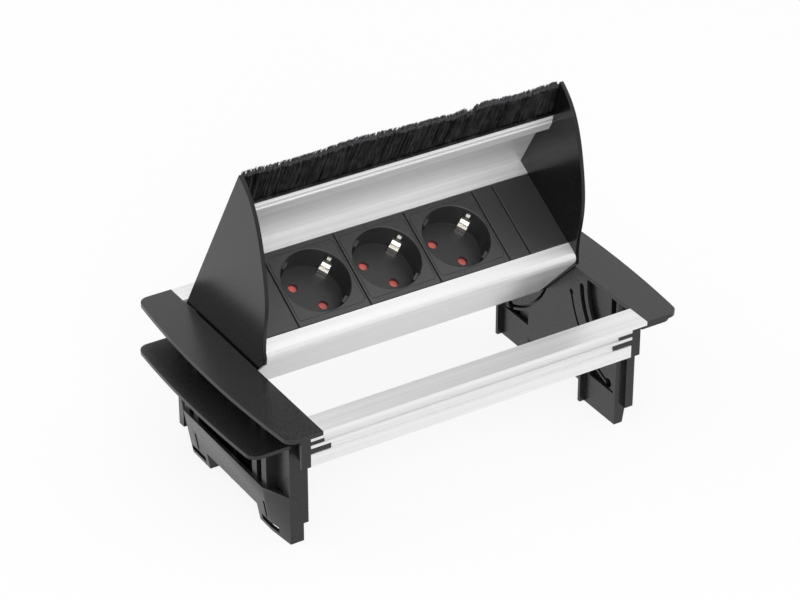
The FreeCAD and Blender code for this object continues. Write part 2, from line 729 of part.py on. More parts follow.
def brush_bristles():
    """Bristle block: narrow at the holder, a little fuller at the tips."""
    slot_roof = LID_RISE - BRUSH_SLOT_ROOF
    slot_floor = slot_roof - BRUSH_SLOT_HEIGHT
    tip = BRUSH_GAP_TO_TIP - LID_REACH
    tip_top = LID_RISE - BRUSH_GAP_TO_TIP / 2
    outline = [
        (-LIP_REACH_ON_LID, slot_roof),
        (-LIP_REACH_ON_LID, slot_floor),
        (tip, tip_top - BRUSH_TIP_HEIGHT),
        (tip, tip_top),
    ]
    return slab_x(outline, -CHEEK_INNER_FACE, CHEEK_INNER_FACE)


def module_middle(index):
    return MODULE_START + MODULE_PITCH * (index + 0.5)


def panel_frame():
    """Carrier plate between the two profiles with one square opening per socket."""
    front = -PANEL_REACH
    base = -PANEL_TOP_DROP - PANEL_HEIGHT
    plate = box(-CHEEK_INNER_FACE, CHEEK_INNER_FACE, front, front + PANEL_THICKNESS, base, -PANEL_TOP_DROP)
    half = MODULE_APERTURE / 2
    for index in range(MODULE_COUNT):
        middle = module_middle(index)
        plate = plate.cut(
            box(
                middle - half,
                middle + half,
                front,
                front + PANEL_THICKNESS,
                -PANEL_MIDDLE_DROP - half,
                -PANEL_MIDDLE_DROP + half,
            )
        )
    return plate


def cover_plate(x0, x1, height):
    """Flat cover on the carrier with a broken front edge."""
    half = height / 2
    plate = box(x0, x1, -FACE_REACH, -PANEL_REACH, -PANEL_MIDDLE_DROP - half, -PANEL_MIDDLE_DROP + half)
    front = [edge for edge in plate.Edges if edge.BoundBox.YMax < MODULE_RISE / 2 - FACE_REACH]
    return plate.makeChamfer(FACE_CHAMFER / 2, front)


def blank_x0():
    return MODULE_START + MODULE_PITCH * MODULE_COUNT


def face_rod(x, dz, radius, depth0, depth1):
    """Cylinder into the panel, depths measured from the socket face."""
    start = vec(x, depth0 - FACE_REACH, dz - PANEL_MIDDLE_DROP)
    return Part.makeCylinder(radius, depth1 - depth0, start, vec(0, 1, 0))


def turned_on_face(shape, middle, angle):
    """Turn about the socket axis, positive from the X direction up the panel."""
    copy = shape.copy()
    copy.rotate(vec(middle, 0, -PANEL_MIDDLE_DROP), vec(0, -1, 0), angle)
    return copy


def rounded_square(middle, half, corner, depth0, depth1):
    block = box(
        middle - half,
        middle + half,
        depth0 - FACE_REACH,
        depth1 - FACE_REACH,
        -PANEL_MIDDLE_DROP - half,
        -PANEL_MIDDLE_DROP + half,
    )
    upright = [edge for edge in block.Edges if abs(edge.tangentAt(edge.FirstParameter).y) > 0.9]
    return block.makeFillet(corner, upright)


def socket_module(index):
    """Earthed socket: square face, round recess, guide keys, pin holes and earth clip slots."""
    middle = module_middle(index)
    size = MODULE_PITCH - MODULE_GAP
    face = cover_plate(middle - size / 2, middle + size / 2, FACE_HEIGHT)
    cup_radius = RECESS_RADIUS + CUP_WALL
    floor_back = RECESS_DEPTH + FLOOR_THICKNESS
    tube_end = floor_back + SHUTTER_THICKNESS + 2 * SHUTTER_GAP + CARRIER_THICKNESS / 2
    cup = face_rod(middle, 0, cup_radius, MODULE_RISE, tube_end)
    body = joined([face, cup])
    body = body.cut(face_rod(middle, 0, RECESS_RADIUS, 0, RECESS_DEPTH))
    body = body.cut(face_rod(middle, 0, RECESS_RADIUS, floor_back, tube_end))
    rim = Part.makeCone(
        RECESS_RADIUS + RIM_WIDTH,
        RECESS_RADIUS,
        RIM_WIDTH,
        vec(middle, -FACE_REACH, -PANEL_MIDDLE_DROP),
        vec(0, 1, 0),
    )
    body = body.cut(rim)
    boss = face_rod(middle, 0, BOSS_RADIUS, floor_back, floor_back + SHUTTER_THICKNESS + 3 * SHUTTER_GAP)
    line_half = size / 2 - LINE_INSET
    line = rounded_square(middle, line_half, LINE_CORNER, 0, LINE_DEPTH)
    line = line.cut(rounded_square(middle, line_half - LINE_WIDTH, LINE_CORNER - LINE_WIDTH, 0, LINE_DEPTH))
    body = body.cut(line)
    keys = []
    for side in (-1, 1):
        inner = RECESS_RADIUS - GUIDE_KEY_HEIGHT
        x0, x1 = sorted((side * inner, side * (RECESS_RADIUS + CUP_WALL / 2)))
        key = box(
            middle + x0,
            middle + x1,
            GUIDE_KEY_SETBACK - FACE_REACH,
            RECESS_DEPTH - FACE_REACH,
            -PANEL_MIDDLE_DROP - GUIDE_KEY_WIDTH / 2,
            -PANEL_MIDDLE_DROP + GUIDE_KEY_WIDTH / 2,
        )
        keys.append(turned_on_face(key, middle, -PIN_AXIS_TILT))
    body = joined([body, boss] + keys)
    for side in (-1, 1):
        hole = face_rod(middle + side * PIN_OFFSET, 0, PIN_HOLE_RADIUS, RECESS_DEPTH, floor_back)
        body = body.cut(turned_on_face(hole, middle, -PIN_AXIS_TILT))
        inner = RECESS_RADIUS - CUP_WALL
        x0, x1 = sorted((side * inner, side * (RECESS_RADIUS + CLIP_SLOT_DEPTH)))
        slot = box(
            middle + x0,
            middle + x1,
            GUIDE_KEY_SETBACK - FACE_REACH,
            RECESS_DEPTH - FACE_REACH,
            -PANEL_MIDDLE_DROP - CLIP_SLOT_WIDTH / 2,
            -PANEL_MIDDLE_DROP + CLIP_SLOT_WIDTH / 2,
        )
        body = body.cut(turned_on_face(slot, middle, 90 - PIN_AXIS_TILT))
    return body


def spring_step(middle, start, length, standout, width):
    """One raised step of a contact spring, sloped towards the plug on its front side."""
    back = RECESS_RADIUS + CLIP_SLOT_DEPTH
    outline = [
        (back, start),
        (back - EARTH_CLIP_THICKNESS, start),
        (back - standout, start + EARTH_CLIP_THICKNESS * 2),
        (back - standout, start + length),
        (back, start + length),
    ]
    corners = [vec(middle + r, d - FACE_REACH, -PANEL_MIDDLE_DROP - width / 2) for r, d in outline]
    return Part.Face(polygon(corners)).extrude(vec(0, 0, width))


def earth_clips(index):
    """Two contact springs facing each other across the recess: narrow tip, cross bar and contact pad."""
    middle = module_middle(index)
    back = RECESS_RADIUS + CLIP_SLOT_DEPTH
    spine = box(
        middle + back - EARTH_CLIP_THICKNESS,
        middle + back,
        TIP_START - FACE_REACH,
        PAD_START + PAD_LENGTH - FACE_REACH,
        -PANEL_MIDDLE_DROP - TIP_WIDTH / 2,
        -PANEL_MIDDLE_DROP + TIP_WIDTH / 2,
    )
    clip = joined(
        [
            spine,
            spring_step(middle, TIP_START, TIP_LENGTH, TIP_STANDOUT, TIP_WIDTH),
            spring_step(middle, BAR_START, BAR_LENGTH, BAR_STANDOUT, BAR_WIDTH),
            spring_step(middle, PAD_START, PAD_LENGTH, PAD_STANDOUT, PAD_WIDTH),
        ]
    )
    return Part.makeCompound([turned_on_face(clip, middle, turn - PIN_AXIS_TILT) for turn in (90, 270)])


def shutter(index):
    """Turning safety disc behind the pin holes, its own holes turned aside at rest."""
    middle = module_middle(index)
    front = RECESS_DEPTH + FLOOR_THICKNESS + SHUTTER_GAP
    back = front + SHUTTER_THICKNESS
    disc = face_rod(middle, 0, SHUTTER_RADIUS, front, back)
    disc = disc.cut(face_rod(middle, 0, BOSS_RADIUS + SHUTTER_FIT, front, back))
    for side in (-1, 1):
        hole = face_rod(middle + side * PIN_OFFSET, 0, PIN_HOLE_RADIUS, front, back)
        disc = disc.cut(turned_on_face(hole, middle, SHUTTER_TURN - PIN_AXIS_TILT))
    return disc


def contact_carrier(index):
    """Insulating disc closing the cup, bored for the two contact sleeves."""
    middle = module_middle(index)
    front = RECESS_DEPTH + FLOOR_THICKNESS + SHUTTER_THICKNESS + 2 * SHUTTER_GAP
    back = front + CARRIER_THICKNESS
    disc = face_rod(middle, 0, RECESS_RADIUS - CARRIER_FIT, front, back)
    disc = disc.cut(face_rod(middle, 0, BOSS_RADIUS + CARRIER_FIT, front, front + CARRIER_THICKNESS / 2))
    for side in (-1, 1):
        hole = face_rod(middle + side * PIN_OFFSET, 0, SLEEVE_RADIUS, front, back)
        disc = disc.cut(turned_on_face(hole, middle, -PIN_AXIS_TILT))
    return disc


def contact_sleeves(index):
    middle = module_middle(index)
    front = RECESS_DEPTH + FLOOR_THICKNESS + SHUTTER_THICKNESS + 2 * SHUTTER_GAP
    sleeves = []
    for side in (-1, 1):
        x = middle + side * PIN_OFFSET
        sleeve = face_rod(x, 0, SLEEVE_RADIUS, front, front + SLEEVE_LENGTH)
        sleeve = sleeve.cut(face_rod(x, 0, SLEEVE_BORE, front, front + SLEEVE_LENGTH))
        sleeves.append(turned_on_face(sleeve, middle, -PIN_AXIS_TILT))
    return Part.makeCompound(sleeves)


def back_cover():
    """Plate closing the unit from the lid down to the end of the apron."""
    front = -BACK_REACH - BACK_COVER_THICKNESS
    top = LID_RISE - LID_THICKNESS
    base = NOSE_THICKNESS - BACK_DROP
    plate = box(-CHEEK_INNER_FACE, CHEEK_INNER_FACE, front, -BACK_REACH, base, top)
    hole = Part.makeCylinder(
        BUSHING_RADIUS,
        BACK_COVER_THICKNESS,
        vec(-BUSHING_OFFSET, front, -PANEL_MIDDLE_DROP),
        vec(0, 1, 0),
    )
    return plate.cut(hole)


def cable_bushing():
    """Rubber bushing for the feed cable, a turned ring clipped into the back cover."""
    front = -BACK_REACH - BACK_COVER_THICKNESS
    inside = front - BUSHING_STANDOUT * 2
    outside = BUSHING_STANDOUT - BACK_REACH
    steps = [
        (BUSHING_HOLE, inside),
        (BUSHING_FLANGE, inside),
        (BUSHING_FLANGE, front),
        (BUSHING_RADIUS, front),
        (BUSHING_RADIUS, -BACK_REACH),
        (BUSHING_FLANGE, -BACK_REACH),
        (BUSHING_HOLE + BUSHING_STANDOUT, outside),
        (BUSHING_HOLE, outside),
    ]
    ring = Part.Face(polygon([vec(r, y, 0) for r, y in steps]))
    ring = ring.revolve(vec(0, 0, 0), vec(0, 1, 0), 360)
    ring.translate(vec(-BUSHING_OFFSET, 0, -PANEL_MIDDLE_DROP))
    return ring


def build():
    # The left bracket is the right one turned round; its lip then stands on the front leg.
    right_bracket = end_bracket(FOOT_PLATE_DROP, FOOT_DEPTH, True, (FRONT_OPENING_EDGE, REAR_OPENING_EDGE))
    left_bracket = end_bracket(RAIL_DEPTH + LIP_GAP, STEP_DEPTH, False, (REAR_OPENING_EDGE, FRONT_OPENING_EDGE))
    fixed = {
        "end_bracket_right": right_bracket,
        "end_bracket_left": turned_round(left_bracket),
        "front_rail": rail(FRONT_OPENING_EDGE, -1),
        "rear_rail": rail(REAR_OPENING_EDGE, 1),
        "rail_keys": rail_keys(),
        "clamp_plate_right": clamp_plate(),
        "clamp_plate_left": turned_round(clamp_plate()),
        "clamp_screw_right": clamp_screw(),
        "clamp_screw_left": mirrored_x(clamp_screw()),
    }
    strip_start = blank_x0()
    strip_end = strip_start + BLANK_STRIP_WIDTH
    turning = {
        "cheek_right": cheek(),
        "cheek_left": mirrored_x(cheek()),
        "guide_pins_right": guide_pins(),
        "guide_pins_left": mirrored_x(guide_pins()),
        "lid_profile": lid_profile(),
        "nose_profile": nose_profile(),
        "brush_holder": brush_holder(),
        "brush_bristles": brush_bristles(),
        "panel_frame": panel_frame(),
        "filler_left": cover_plate(-CHEEK_INNER_FACE, MODULE_START - MODULE_GAP / 2, FACE_HEIGHT),
        "blank_strip": cover_plate(strip_start + MODULE_GAP / 2, strip_end - MODULE_GAP / 2, FACE_HEIGHT),
        "filler_right": cover_plate(strip_end + MODULE_GAP / 2, CHEEK_INNER_FACE, FACE_HEIGHT),
        "back_cover": back_cover(),
        "cable_bushing": cable_bushing(),
    }
    for index in range(MODULE_COUNT):
        number = index + 1
        turning[f"socket_module_{number}"] = socket_module(index)
        turning[f"earth_clips_{number}"] = earth_clips(index)
        turning[f"shutter_{number}"] = shutter(index)
        turning[f"contact_carrier_{number}"] = contact_carrier(index)
        turning[f"contact_sleeves_{number}"] = contact_sleeves(index)
    shapes = dict(fixed)
    for name, shape in turning.items():
        shapes[name] = opened(shape)
    return shapes


os.makedirs("parts", exist_ok=True)
for node, solid in build().items():
    solid.translate(vec(0, 0, FOOT_DEPTH))
    solid.exportStep(f"parts/{node}.step")
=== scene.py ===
import json
import math
import random

import bmesh
import bpy
from mathutils import Matrix, Vector


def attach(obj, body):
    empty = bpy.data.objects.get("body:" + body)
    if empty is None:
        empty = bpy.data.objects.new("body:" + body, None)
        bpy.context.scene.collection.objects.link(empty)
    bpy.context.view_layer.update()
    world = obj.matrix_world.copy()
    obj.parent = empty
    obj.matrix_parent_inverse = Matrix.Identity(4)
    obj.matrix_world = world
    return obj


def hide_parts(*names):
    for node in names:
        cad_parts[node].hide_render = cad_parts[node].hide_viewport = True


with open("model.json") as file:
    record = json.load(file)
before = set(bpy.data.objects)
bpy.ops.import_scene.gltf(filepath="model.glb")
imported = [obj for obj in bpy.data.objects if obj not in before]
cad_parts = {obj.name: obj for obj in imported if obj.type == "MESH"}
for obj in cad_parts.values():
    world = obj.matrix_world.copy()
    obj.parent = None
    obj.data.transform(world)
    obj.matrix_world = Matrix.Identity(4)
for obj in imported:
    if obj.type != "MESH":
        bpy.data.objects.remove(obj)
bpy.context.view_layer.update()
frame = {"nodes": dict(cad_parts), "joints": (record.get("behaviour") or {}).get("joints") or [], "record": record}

bl_info = {
    "name": "In-desk power socket",
    "version": (1, 0, 0),
    "blender": (4, 5, 0),
    "location": "View3D > Sidebar > Power Socket",
    "description": "Dresses the packed flip-up desk socket with its finishes, edges and brush",
    "category": "Object",
}

MM = 0.001
FLIP = next(joint for joint in frame["joints"] if joint["name"] == "flip_hinge")
# Carries a point drawn with the unit closed, in metres about its hinge, to the open unit.
OPENED = Matrix.Translation(FLIP["pos_m"]) @ Matrix.Rotation(-math.radians(FLIP["range_deg"][1]), 4, "X")

# A noise texture keeps nearly all of its values between these two.
NOISE_LOW = 0.3
NOISE_HIGH = 0.7

# How a node's triangles become faces again, and which of their edges are rounded.
WELD_DISTANCE = 0.002 * MM
FLAT_ANGLE = math.radians(0.6)
SHARP_ANGLE = math.radians(35)
ROUNDED_ANGLE = math.radians(40)

# The brush is drawn with the unit closed: x along the lid, y from the hinge, z up.
BRUSH_HALF = 98.6 * MM
LIP_END = -108.8 * MM
# The front rail's edge, and a height safely over its strip, when the lid is closed.
RAIL_EDGE = -131.1 * MM
OVER_RAIL = 5.7 * MM
TIP_CEILING = 6.7 * MM
# The bristles' roots start inside the lip, from the lowest height over a band, in millimetres.
ROOT_INSIDE = 0.6
LOWEST_ROOT = -1.05
ROOT_BAND = 3.9
TUFTS = 186
# How much the tufts differ in place, lean, lift and reach, in millimetres.
TUFT_SPREADS = (0.2, 0.4, 0.22, 0.25)
# How much single bristles differ from their tuft, in millimetres.
PLACE_SPREAD = 0.24
REACH_SPREAD = 0.4
MOST_EXTRA_REACH = 0.7
LEAN_SPREAD = 0.2
LIFT_SPREAD = 0.2
# How far a split end strays sideways and up from its bristle's line, in millimetres.
FRAY_SIDEWAYS = 0.5
FRAY_UP = 0.35
# Fuller and worn places of the brush as centre, half width and change of length, in millimetres.
WORN_PLACES = (
    (-92, 8, 1.6),
    (-33, 19, 2.4),
    (13, 6, -1.2),
    (27, 5, -2.4),
    (38.4, 1.8, -7),
    (48, 7, 1.4),
    (68, 8, -1.0),
)
# A bristle's width at its root, at the bend near its tip and at the tip, as shares of its full width.
BRISTLE_TAPER = (1.0, 0.95, 0.8)
BEND_SHARE = 0.93
# The material of one bristle's seven faces: three up to the bend, three past it and the cut end.
BRISTLE_FINISHES = (0, 0, 0, 1, 1, 1, 1)
PACKED_COLUMNS = 660
PACKED_ROWS = 5
# Section of the black strip at the lip's end as y and z, in millimetres, its free edges rolled over.
BLACK_LIP_STRIP_SECTION = (
    (-0.05, -2.62),
    (-0.3, -2.7),
    (-0.62, -2.62),
    (-0.78, -2.3),
    (-0.78, -1.2),
    (-0.6, -0.95),
    (-0.05, -0.95),
)

CAMERA_AIM = Vector((-0.0020, 0.0043, 0.0843))
CAMERA_TURN = math.radians(-31.689)
CAMERA_RISE = math.radians(31.247)
FLOOR_HALF = 4.0
# How far the floor looks like the white studio, so that only a soft shadow shows on it.
FLOOR_GLOW = 0.86
# The studio's own light on a surface, below the white that the camera and reflections see.
SKY_LIGHT = 0.72
LIT_CENTRE = Vector((0, 0, 0.08))
# Softboxes as name, place and size in metres, and power in watts.
SOFTBOXES = (
    ("key softbox", (0.75, -0.25, 1.7), 1.4, 3),
    ("front softbox", (-0.5, -1.4, 1.1), 1.0, 11),
    ("back softbox", (-0.9, 1.2, 0.8), 1.2, 6),
)


def linear(code):
    """Linear colour of an sRGB hex value."""
    parts = [int(code[k : k + 2], 16) / 255 for k in (1, 3, 5)]
    return tuple(p / 12.92 if p <= 0.04045 else ((p + 0.055) / 1.055) ** 2.4 for p in parts)


def colour(name, code, words):
    """A colour that the user may change, given as its sRGB hex value."""
    return bpy.props.FloatVectorProperty(
        name=name, description=words, subtype="COLOR", size=3, min=0, max=1, default=linear(code)
    )


def length(name, metres, words):
    """A length that the user may change."""
    return bpy.props.FloatProperty(
        name=name,
        description=words,
        default=metres,
        min=0,
        soft_max=metres * 4,
        unit="LENGTH",
        precision=5,
    )


class PowerSocketFinishes(bpy.types.PropertyGroup):
    """Colours of the finishes"""

    bracket: colour("Brackets", "#202021", "Textured black plastic of the frame ends and clamp plates")
    cover: colour("Cheeks", "#131314", "Fine-grained black plastic of the cheeks and back cover")
    insert: colour("Socket inserts", "#303031", "Satin black plastic of the socket faces")
    aluminium: colour("Aluminium", "#eeeeee", "Anodised aluminium of the rails, lid and apron")
    bristle: colour("Bristles", "#0f0f10", "Black nylon of the brush")
    # The tips' lighter grey is partly the pale split fibres and partly a painted highlight that the tip ends
    # catch.
    frayed_and_highlit: colour("Bristle tips", "#505053", "Split and whitened ends of the nylon bristles")
    shutter: colour("Shutters", "#f27a70", "Red plastic of the safety discs")
    nickel: colour("Earth clips", "#d9d6cf", "Nickel plating of the earth clips")
    brass: colour("Contact sleeves", "#c9a35a", "Turned brass of the contact sleeves")
    steel: colour("Screws and pins", "#b9bbbd", "Zinc-plated steel of the screws and guide pins")
    insulator: colour("Contact carriers", "#cfcabd", "Pale ceramic-filled plastic behind the shutters")
    rubber: colour("Bushing", "#1a1a1b", "Soft black rubber of the cable bushing")
    floor: colour("Floor", "#f4f4f3", "Pale studio floor")


class PowerSocketSizes(bpy.types.PropertyGroup):
    """Sizes of the edges, the brush and the camera"""

    edge: length("Moulded edge", 0.35 * MM, "Rounding on the edges of the moulded plastic")
    fine_edge: length("Extruded edge", 0.18 * MM, "Rounding on the edges of the aluminium and small parts")
    strip_edge: length("Spring strip edge", 0.5 * MM, "Rounding on the bends of the earth clips")
    bristle_width: length("Bristle", 0.24 * MM, "Thickness of one bristle")
    bristle_reach: length("Brush reach", 19.8 * MM, "Free length of the bristles past the lid")
    bristle_lift: length("Brush lift", 5.0 * MM, "How far the bristles rise from their roots to their tips")
    bristle_lean: length("Brush lean", 4.6 * MM, "How far the bristles lean to one side over their length")
    bristles: bpy.props.IntProperty(
        name="Bristles",
        description="Number of loose bristles over the brush",
        default=9500,
        min=10,
        soft_max=20000,
    )
    camera_distance: length("Camera distance", 1.69369, "Distance from the camera to the point it looks at")
    lens: bpy.props.FloatProperty(
        name="Lens", description="Focal length of the camera", default=138.61, min=1, unit="CAMERA"
    )


def add_node(tree, kind, sockets=None, **settings):
    """A node with its settings; a socket takes a value or another node's output."""
    node = tree.nodes.new(kind)
    for name, value in settings.items():
        setattr(node, name, value)
    for name, value in (sockets or {}).items():
        if isinstance(value, bpy.types.NodeSocket):
            tree.links.new(value, node.inputs[name])
        else:
            node.inputs[name].default_value = value
    return node


def fresh_material(name):
    """An empty material, its tree and the object's own coordinates, in metres."""
    material = bpy.data.materials.new(name)
    material.use_nodes = True
    tree = material.node_tree
    tree.nodes.clear()
    place = add_node(tree, "ShaderNodeTexCoord").outputs["Object"]
    return material, tree, place


def finish_surface(tree, sockets):
    """Ends a material's tree with its shader and output."""
    shader = add_node(tree, "ShaderNodeBsdfPrincipled", sockets)
    add_node(tree, "ShaderNodeOutputMaterial", {"Surface": shader.outputs["BSDF"]})


def looked_at(tree):
    """One for rays from the camera, a reflection or a glass, and zero for light that falls on a surface."""
    path = add_node(tree, "ShaderNodeLightPath")
    direct = add_node(
        tree,
        "ShaderNodeMath",
        {0: path.outputs["Is Camera Ray"], 1: path.outputs["Is Glossy Ray"]},
        operation="MAXIMUM",
    )
    clear = add_node(
        tree,
        "ShaderNodeMath",
        {0: direct.outputs["Value"], 1: path.outputs["Is Transmission Ray"]},
        operation="MAXIMUM",
    )
    return clear.outputs["Value"]


def shade(base, share):
    """The base colour made darker or lighter, as a socket takes it."""
    return (*[part * share for part in base], 1)


def spark_textured_plastic(name, base, grain_mm, depth_mm, rough, ior):
    """Black plastic from a spark-eroded mould: a matte grain that lifts to mid grey where light grazes it."""
    material, tree, place = fresh_material(name)
    grain = add_node(
        tree, "ShaderNodeTexNoise", {"Vector": place, "Scale": 1 / (grain_mm * MM), "Detail": 3.0}
    )
    # Flow marks of the melt, 35 mm across, vary the tone a little.
    flow = add_node(tree, "ShaderNodeTexNoise", {"Vector": place, "Scale": 1 / (35 * MM), "Detail": 2.0})
    tone = add_node(
        tree,
        "ShaderNodeMix",
        {0: flow.outputs["Fac"], 6: shade(base, 0.86), 7: shade(base, 1.16)},
        data_type="RGBA",
    )
    gloss = add_node(
        tree,
        "ShaderNodeMapRange",
        {
            "Value": grain.outputs["Fac"],
            "From Min": NOISE_LOW,
            "From Max": NOISE_HIGH,
            "To Min": rough - 0.07,
            "To Max": rough + 0.08,
        },
    )
    bump = add_node(
        tree,
        "ShaderNodeBump",
        {"Height": grain.outputs["Fac"], "Strength": 0.5, "Distance": depth_mm * MM},
    )
    finish_surface(
        tree,
        {
            "Base Color": tone.outputs[2],
            "Roughness": gloss.outputs["Result"],
            "Normal": bump.outputs["Normal"],
            "IOR": ior,
        },
    )
    return material


def anodised_aluminium(name, base):
    """Extruded aluminium, etched and anodised: soft satin grey with faint die lines along its length."""
    material, tree, place = fresh_material(name)
    # Die lines are drawn 1.6 mm apart, coarser than the real ones, so that they show.
    lines_at = add_node(
        tree,
        "ShaderNodeMapping",
        {"Vector": place, "Scale": (1 / (220 * MM), 1 / (1.6 * MM), 1 / (1.6 * MM))},
    )
    lines = add_node(
        tree, "ShaderNodeTexNoise", {"Vector": lines_at.outputs["Vector"], "Scale": 1.0, "Detail": 3.0}
    )
    etch = add_node(tree, "ShaderNodeTexNoise", {"Vector": place, "Scale": 1 / (0.35 * MM), "Detail": 2.0})
    gloss = add_node(
        tree,
        "ShaderNodeMapRange",
        {
            "Value": lines.outputs["Fac"],
            "From Min": NOISE_LOW,
            "From Max": NOISE_HIGH,
            "To Min": 0.32,
            "To Max": 0.42,
        },
    )
    tone = add_node(
        tree,
        "ShaderNodeMix",
        {0: lines.outputs["Fac"], 6: shade(base, 0.8), 7: shade(base, 1.12)},
        data_type="RGBA",
    )
    relief = add_node(
        tree, "ShaderNodeMath", {0: lines.outputs["Fac"], 1: etch.outputs["Fac"]}, operation="ADD"
    )
    bump = add_node(
        tree, "ShaderNodeBump", {"Height": relief.outputs["Value"], "Strength": 0.25, "Distance": 0.02 * MM}
    )
    finish_surface(
        tree,
        {
            "Base Color": tone.outputs[2],
            # The clear oxide layer scatters more light than it reflects.
            "Metallic": 0.36,
            "Roughness": gloss.outputs["Result"],
            "Normal": bump.outputs["Normal"],
        },
    )
    return material


def plated_metal(name, base, rough, grain_mm):
    """Small metal part: a bright surface broken by the faint grain of the strip or bar beneath."""
    material, tree, place = fresh_material(name)
    grain = add_node(
        tree, "ShaderNodeTexNoise", {"Vector": place, "Scale": 1 / (grain_mm * MM), "Detail": 3.0}
    )
    gloss = add_node(
        tree,
        "ShaderNodeMapRange",
        {
            "Value": grain.outputs["Fac"],
            "From Min": NOISE_LOW,
            "From Max": NOISE_HIGH,
            "To Min": rough - 0.06,
            "To Max": rough + 0.08,
        },
    )
    bump = add_node(
        tree, "ShaderNodeBump", {"Height": grain.outputs["Fac"], "Strength": 0.3, "Distance": 0.02 * MM}
    )
    finish_surface(
        tree,
        {
            "Base Color": shade(base, 1),
            "Metallic": 1.0,
            "Roughness": gloss.outputs["Result"],
            "Normal": bump.outputs["Normal"],
        },
    )
    return material


def moulded_plastic(name, base, rough, ripple_mm):
    """Polished-mould plastic: smooth, with the slow ripple of shrinkage in its highlights."""
    material, tree, place = fresh_material(name)
    ripple = add_node(
        tree, "ShaderNodeTexNoise", {"Vector": place, "Scale": 1 / (ripple_mm * MM), "Detail": 2.0}
    )
    gloss = add_node(
        tree,
        "ShaderNodeMapRange",
        {
            "Value": ripple.outputs["Fac"],
            "From Min": NOISE_LOW,
            "From Max": NOISE_HIGH,
            "To Min": rough - 0.05,
            "To Max": rough + 0.05,
        },
    )
    bump = add_node(
        tree, "ShaderNodeBump", {"Height": ripple.outputs["Fac"], "Strength": 0.2, "Distance": 0.02 * MM}
    )
    finish_surface(
        tree,
        {
            "Base Color": shade(base, 1),
            "Roughness": gloss.outputs["Result"],
            "Normal": bump.outputs["Normal"],
            "IOR": 1.54,
        },
    )
    return material


def nylon_bristle(name, base):
    """Drawn nylon monofilament, cut in tufts: near black, with streaks of light along the strands."""
    material, tree, place = fresh_material(name)
    # Strands 0.4 mm apart run from the lid to the tips, so the pattern hardly changes along them.
    across = add_node(
        tree,
        "ShaderNodeMapping",
        {"Vector": place, "Scale": (1 / (0.4 * MM), 1 / (25 * MM), 1 / (25 * MM))},
    )
    strands = add_node(
        tree, "ShaderNodeTexNoise", {"Vector": across.outputs["Vector"], "Scale": 1.0, "Detail": 2.0}
    )
    # Bundles 5 mm across differ a little in darkness.
    bundles = add_node(tree, "ShaderNodeTexNoise", {"Vector": place, "Scale": 1 / (5 * MM), "Detail": 1.0})
    mixed = add_node(
        tree, "ShaderNodeMath", {0: strands.outputs["Fac"], 1: bundles.outputs["Fac"]}, operation="MULTIPLY"
    )
    share = add_node(
        tree, "ShaderNodeMapRange", {"Value": mixed.outputs["Value"], "From Min": 0.22, "From Max": 0.42}
    )
    # The light end of this mix paints highlights as streaks along the strands.
    tone = add_node(
        tree,
        "ShaderNodeMix",
        {0: share.outputs["Result"], 6: shade(base, 0.3), 7: shade(base, 6)},
        data_type="RGBA",
    )
    bump = add_node(
        tree, "ShaderNodeBump", {"Height": strands.outputs["Fac"], "Strength": 0.6, "Distance": 0.15 * MM}
    )
    finish_surface(
        tree,
        {"Base Color": tone.outputs[2], "Roughness": 0.4, "Normal": bump.outputs["Normal"], "IOR": 1.4},
    )
    return material


def frayed_and_highlit_nylon(name, base):
    """Cut ends of nylon bristles, split by use and coloured lighter grey: partly the pale split fibres, partly a
    painted highlight that the tip ends catch.
    """
    material, tree, place = fresh_material(name)
    # Single ends 0.4 mm across are split by different amounts.
    ends = add_node(tree, "ShaderNodeTexNoise", {"Vector": place, "Scale": 1 / (0.4 * MM), "Detail": 1.0})
    share = add_node(
        tree, "ShaderNodeMapRange", {"Value": ends.outputs["Fac"], "From Min": 0.35, "From Max": 0.65}
    )
    tone = add_node(
        tree,
        "ShaderNodeMix",
        {0: share.outputs["Result"], 6: shade(base, 0.12), 7: shade(base, 1.8)},
        data_type="RGBA",
    )
    bump = add_node(
        tree, "ShaderNodeBump", {"Height": ends.outputs["Fac"], "Strength": 0.4, "Distance": 0.1 * MM}
    )
    finish_surface(
        tree, {"Base Color": tone.outputs[2], "Roughness": 0.6, "Normal": bump.outputs["Normal"], "IOR": 1.53}
    )
    return material


